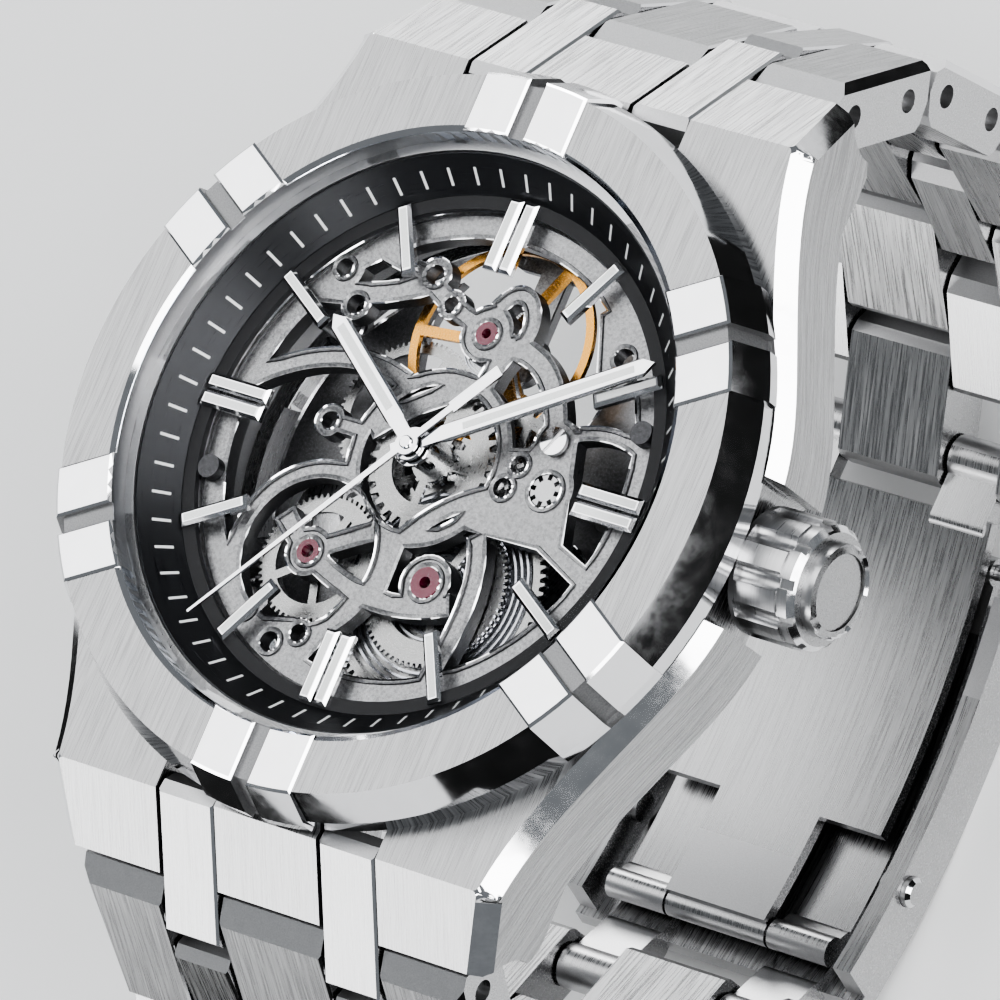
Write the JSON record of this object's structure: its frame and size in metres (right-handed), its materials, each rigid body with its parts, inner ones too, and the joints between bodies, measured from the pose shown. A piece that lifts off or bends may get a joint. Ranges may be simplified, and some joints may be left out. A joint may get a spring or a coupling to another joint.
{
  "type": "skeleton wristwatch",
  "caption": "Automatic skeleton wristwatch with a clawed round bezel, open-worked movement, integrated three-row steel bracelet and tri-fold clasp.",
  "frame": {"origin": "centre of the caseback outer face, on the dial axis", "axes": "+X to the crown at 3 o'clock, +Y to 12 o'clock, +Z out of the dial"},
  "size_m": [0.0431, 0.0596, 0.047],
  "materials": {
    "brushed_steel": "brushed, polished bevels",
    "link_steel": "brushed along the bracelet, polished bevels",
    "bezel_steel": "vertical brushing with polished slope and claws",
    "polished_steel": "mirror polished",
    "clasp_steel": "brushed",
    "sapphire": "clear",
    "dial_black": "satin black",
    "rehaut_grey": "circular brushed dark grey",
    "movement_grey": "fine grained rhodium with polished bevels",
    "wheel_steel": "satin",
    "spring_steel": "polished strip",
    "balance_gold": "polished",
    "ruby": "polished synthetic ruby"
  },
  "bodies": {
    "case": {"case_middle": "brushed_steel", "lug_pins": "polished_steel", "bezel": "bezel_steel", "crystal": "sapphire", "caseback_ring": "brushed_steel", "caseback_glass": "sapphire", "movement_ring": "movement_grey", "dial_ring": "dial_black", "rehaut": "rehaut_grey", "hour_markers": "polished_steel", "main_plate": "movement_grey", "train_bridge": "movement_grey", "balance_cock": "movement_grey", "jewels": "ruby", "movement_screws": "wheel_steel"},
    "stem": {"winding_stem": "polished_steel"},
    "crown": {"crown": "polished_steel"},
    "minute_train": {"minute_hand": "polished_steel", "cannon_pinion": "wheel_steel"},
    "hour_train": {"hour_hand": "polished_steel", "hour_wheel": "wheel_steel"},
    "seconds_train": {"seconds_hand": "polished_steel", "seconds_wheel": "wheel_steel"},
    "minute_wheel": {"minute_wheel": "wheel_steel"},
    "third_wheel": {"third_wheel": "wheel_steel"},
    "escape_wheel": {"escape_wheel": "wheel_steel"},
    "barrel": {"barrel_drum": "wheel_steel", "mainspring": "spring_steel"},
    "ratchet_wheel": {"ratchet_wheel": "wheel_steel"},
    "reduction_wheel": {"reduction_wheel": "wheel_steel"},
    "pallet_fork": {"pallet_fork": "wheel_steel"},
    "balance": {"balance_wheel": "balance_gold", "hairspring": "spring_steel"},
    "rotor": {"rotor": "movement_grey"},
    "bars_6_1": {"bars_6_1": "link_steel"},
    "row_6_1": {"row_6_1": "link_steel"},
    "bars_6_2": {"bars_6_2": "link_steel"},
    "row_6_2": {"row_6_2": "link_steel"},
    "bars_6_3": {"bars_6_3": "link_steel"},
    "row_6_3": {"row_6_3": "link_steel"},
    "bars_6_4": {"bars_6_4": "link_steel"},
    "row_6_4": {"row_6_4": "link_steel"},
    "bars_6_5": {"bars_6_5": "link_steel"},
    "row_6_5": {"row_6_5": "link_steel"},
    "bars_12_1": {"bars_12_1": "link_steel"},
    "row_12_1": {"row_12_1": "link_steel"},
    "bars_12_2": {"bars_12_2": "link_steel"},
    "row_12_2": {"row_12_2": "link_steel"},
    "bars_12_3": {"bars_12_3": "link_steel"},
    "row_12_3": {"row_12_3": "link_steel"},
    "bars_12_4": {"bars_12_4": "link_steel"},
    "row_12_4": {"row_12_4": "link_steel"},
    "bars_12_5": {"bars_12_5": "link_steel"},
    "row_12_5": {"row_12_5": "link_steel"},
    "clasp_inner_blade": {"clasp_inner_blade": "clasp_steel"},
    "clasp_middle_blade": {"clasp_middle_blade": "clasp_steel"},
    "clasp_cover": {"clasp_cover": "clasp_steel"},
    "clasp_button_right": {"clasp_button_right": "polished_steel"},
    "clasp_button_left": {"clasp_button_left": "polished_steel"}
  },
  "joints": [
    {"name": "crown_pull", "type": "slide", "parent": "case", "child": "stem", "axis": [1, 0, 0], "range_m": [0, 0.001]},
    {"name": "crown_turn", "type": "hinge", "parent": "stem", "child": "crown", "pos_m": [0.02, 0, 0.0044], "axis": [1, 0, 0], "continuous": true},
    {"name": "minute_turn", "type": "hinge", "parent": "case", "child": "minute_train", "pos_m": [0, 0, 0.006], "axis": [0, 0, 1], "continuous": true},
    {"name": "hour_turn", "type": "hinge", "parent": "case", "child": "hour_train", "pos_m": [0, 0, 0.006], "axis": [0, 0, 1], "continuous": true},
    {"name": "seconds_turn", "type": "hinge", "parent": "case", "child": "seconds_train", "pos_m": [0, 0, 0.006], "axis": [0, 0, 1], "continuous": true},
    {"name": "minute_wheel_turn", "type": "hinge", "parent": "case", "child": "minute_wheel", "pos_m": [0.00421, 0.00059, 0.006], "axis": [0, 0, 1], "continuous": true},
    {"name": "third_wheel_turn", "type": "hinge", "parent": "case", "child": "third_wheel", "pos_m": [-0.00372, 0.00215, 0.006], "axis": [0, 0, 1], "continuous": true},
    {"name": "escape_wheel_turn", "type": "hinge", "parent": "case", "child": "escape_wheel", "pos_m": [0.00348, 0.00244, 0.006], "axis": [0, 0, 1], "continuous": true},
    {"name": "barrel_turn", "type": "hinge", "parent": "case", "child": "barrel", "pos_m": [0.00275, -0.0059, 0.006], "axis": [0, 0, 1], "continuous": true},
    {"name": "ratchet_wheel_turn", "type": "hinge", "parent": "case", "child": "ratchet_wheel", "pos_m": [0.00275, -0.0059, 0.006], "axis": [0, 0, 1], "continuous": true},
    {"name": "reduction_wheel_turn", "type": "hinge", "parent": "case", "child": "reduction_wheel", "pos_m": [-0.0044, -0.0061, 0.006], "axis": [0, 0, 1], "continuous": true},
    {"name": "rotor_turn", "type": "hinge", "parent": "case", "child": "rotor", "pos_m": [0, 0, 0.006], "axis": [0, 0, 1], "continuous": true},
    {"name": "pallet_swing", "type": "hinge", "parent": "case", "child": "pallet_fork", "pos_m": [0.00205, 0.00436, 0.0045], "axis": [0, 0, 1], "range_deg": [-5, 5]},
    {"name": "balance_swing", "type": "hinge", "parent": "case", "child": "balance", "pos_m": [0.0003, 0.0067, 0.0055], "axis": [0, 0, 1], "range_deg": [-140, 140], "stiffness_Nm_per_rad": 0.0000006},
    {"name": "bars_6_1_hinge", "type": "hinge", "parent": "case", "child": "bars_6_1", "pos_m": [0, -0.02037, 0.00453], "axis": [1, 0, 0], "range_deg": [-4, 0]},
    {"name": "row_6_1_hinge", "type": "hinge", "parent": "bars_6_1", "child": "row_6_1", "pos_m": [0, -0.02312, 0.00206], "axis": [1, 0, 0], "range_deg": [-17, 0]},
    {"name": "bars_6_2_hinge", "type": "hinge", "parent": "row_6_1", "child": "bars_6_2", "pos_m": [0, -0.02565, -0.00214], "axis": [1, 0, 0], "range_deg": [-6, 0]},
    {"name": "row_6_2_hinge", "type": "hinge", "parent": "bars_6_2", "child": "row_6_2", "pos_m": [0, -0.02722, -0.00549], "axis": [1, 0, 0], "range_deg": [-17, 0]},
    {"name": "bars_6_3_hinge", "type": "hinge", "parent": "row_6_2", "child": "bars_6_3", "pos_m": [0, -0.02791, -0.01034], "axis": [1, 0, 0], "range_deg": [-6, 0]},
    {"name": "row_6_3_hinge", "type": "hinge", "parent": "bars_6_3", "child": "row_6_3", "pos_m": [0, -0.02804, -0.01404], "axis": [1, 0, 0], "range_deg": [-17, 0]},
    {"name": "bars_6_4_hinge", "type": "hinge", "parent": "row_6_3", "child": "bars_6_4", "pos_m": [0, -0.02678, -0.01877], "axis": [1, 0, 0], "range_deg": [-6, 0]},
    {"name": "row_6_4_hinge", "type": "hinge", "parent": "bars_6_4", "child": "row_6_4", "pos_m": [0, -0.02545, -0.02223], "axis": [1, 0, 0], "range_deg": [-17, 0]},
    {"name": "bars_6_5_hinge", "type": "hinge", "parent": "row_6_4", "child": "bars_6_5", "pos_m": [0, -0.02244, -0.02609], "axis": [1, 0, 0], "range_deg": [-6, 0]},
    {"name": "row_6_5_hinge", "type": "hinge", "parent": "bars_6_5", "child": "row_6_5", "pos_m": [0, -0.01987, -0.02876], "axis": [1, 0, 0], "range_deg": [-17, 0]},
    {"name": "bars_12_1_hinge", "type": "hinge", "parent": "case", "child": "bars_12_1", "pos_m": [0, 0.02037, 0.00453], "axis": [-1, 0, 0], "range_deg": [-4, 0]},
    {"name": "row_12_1_hinge", "type": "hinge", "parent": "bars_12_1", "child": "row_12_1", "pos_m": [0, 0.02312, 0.00206], "axis": [-1, 0, 0], "range_deg": [-17, 0]},
    {"name": "bars_12_2_hinge", "type": "hinge", "parent": "row_12_1", "child": "bars_12_2", "pos_m": [0, 0.02565, -0.00214], "axis": [-1, 0, 0], "range_deg": [-6, 0]},
    {"name": "row_12_2_hinge", "type": "hinge", "parent": "bars_12_2", "child": "row_12_2", "pos_m": [0, 0.02722, -0.00549], "axis": [-1, 0, 0], "range_deg": [-17, 0]},
    {"name": "bars_12_3_hinge", "type": "hinge", "parent": "row_12_2", "child": "bars_12_3", "pos_m": [0, 0.02791, -0.01034], "axis": [-1, 0, 0], "range_deg": [-6, 0]},
    {"name": "row_12_3_hinge", "type": "hinge", "parent": "bars_12_3", "child": "row_12_3", "pos_m": [0, 0.02804, -0.01404], "axis": [-1, 0, 0], "range_deg": [-17, 0]},
    {"name": "bars_12_4_hinge", "type": "hinge", "parent": "row_12_3", "child": "bars_12_4", "pos_m": [0, 0.02678, -0.01877], "axis": [-1, 0, 0], "range_deg": [-6, 0]},
    {"name": "row_12_4_hinge", "type": "hinge", "parent": "bars_12_4", "child": "row_12_4", "pos_m": [0, 0.02545, -0.02223], "axis": [-1, 0, 0], "range_deg": [-17, 0]},
    {"name": "bars_12_5_hinge", "type": "hinge", "parent": "row_12_4", "child": "bars_12_5", "pos_m": [0, 0.02244, -0.02609], "axis": [-1, 0, 0], "range_deg": [-6, 0]},
    {"name": "row_12_5_hinge", "type": "hinge", "parent": "bars_12_5", "child": "row_12_5", "pos_m": [0, 0.01987, -0.02876], "axis": [-1, 0, 0], "range_deg": [-17, 0]},
    {"name": "clasp_to_bracelet", "type": "hinge", "parent": "row_12_5", "child": "clasp_inner_blade", "pos_m": [0, 0.01559, -0.03114], "axis": [-1, 0, 0], "range_deg": [-9, 0]},
    {"name": "clasp_inner_hinge", "type": "hinge", "parent": "clasp_inner_blade", "child": "clasp_middle_blade", "pos_m": [0, -0.0106, -0.0324], "axis": [-1, 0, 0], "range_deg": [0, 120]},
    {"name": "clasp_cover_hinge", "type": "hinge", "parent": "clasp_middle_blade", "child": "clasp_cover", "pos_m": [0, 0.01071, -0.03284], "axis": [1, 0, 0], "range_deg": [0, 120]},
    {"name": "button_right_press", "type": "slide", "parent": "clasp_cover", "child": "clasp_button_right", "axis": [-1, 0, 0], "range_m": [0, 0.00035], "stiffness_N_per_m": 300, "springref_m": -0.0005},
    {"name": "button_left_press", "type": "slide", "parent": "clasp_cover", "child": "clasp_button_left", "axis": [1, 0, 0], "range_m": [0, 0.00035], "stiffness_N_per_m": 300, "springref_m": -0.0005}
  ],
  "couplings": [
    {"joint": "hour_turn", "follows": "minute_turn", "ratio": 0.083333},
    {"joint": "seconds_turn", "follows": "minute_turn", "ratio": 60},
    {"joint": "minute_wheel_turn", "follows": "minute_turn", "ratio": -0.33333},
    {"joint": "third_wheel_turn", "follows": "minute_turn", "ratio": -8},
    {"joint": "escape_wheel_turn", "follows": "minute_turn", "ratio": -600},
    {"joint": "barrel_turn", "follows": "minute_turn", "ratio": -0.125},
    {"joint": "reduction_wheel_turn", "follows": "ratchet_wheel_turn", "ratio": -1.2}
  ]
}
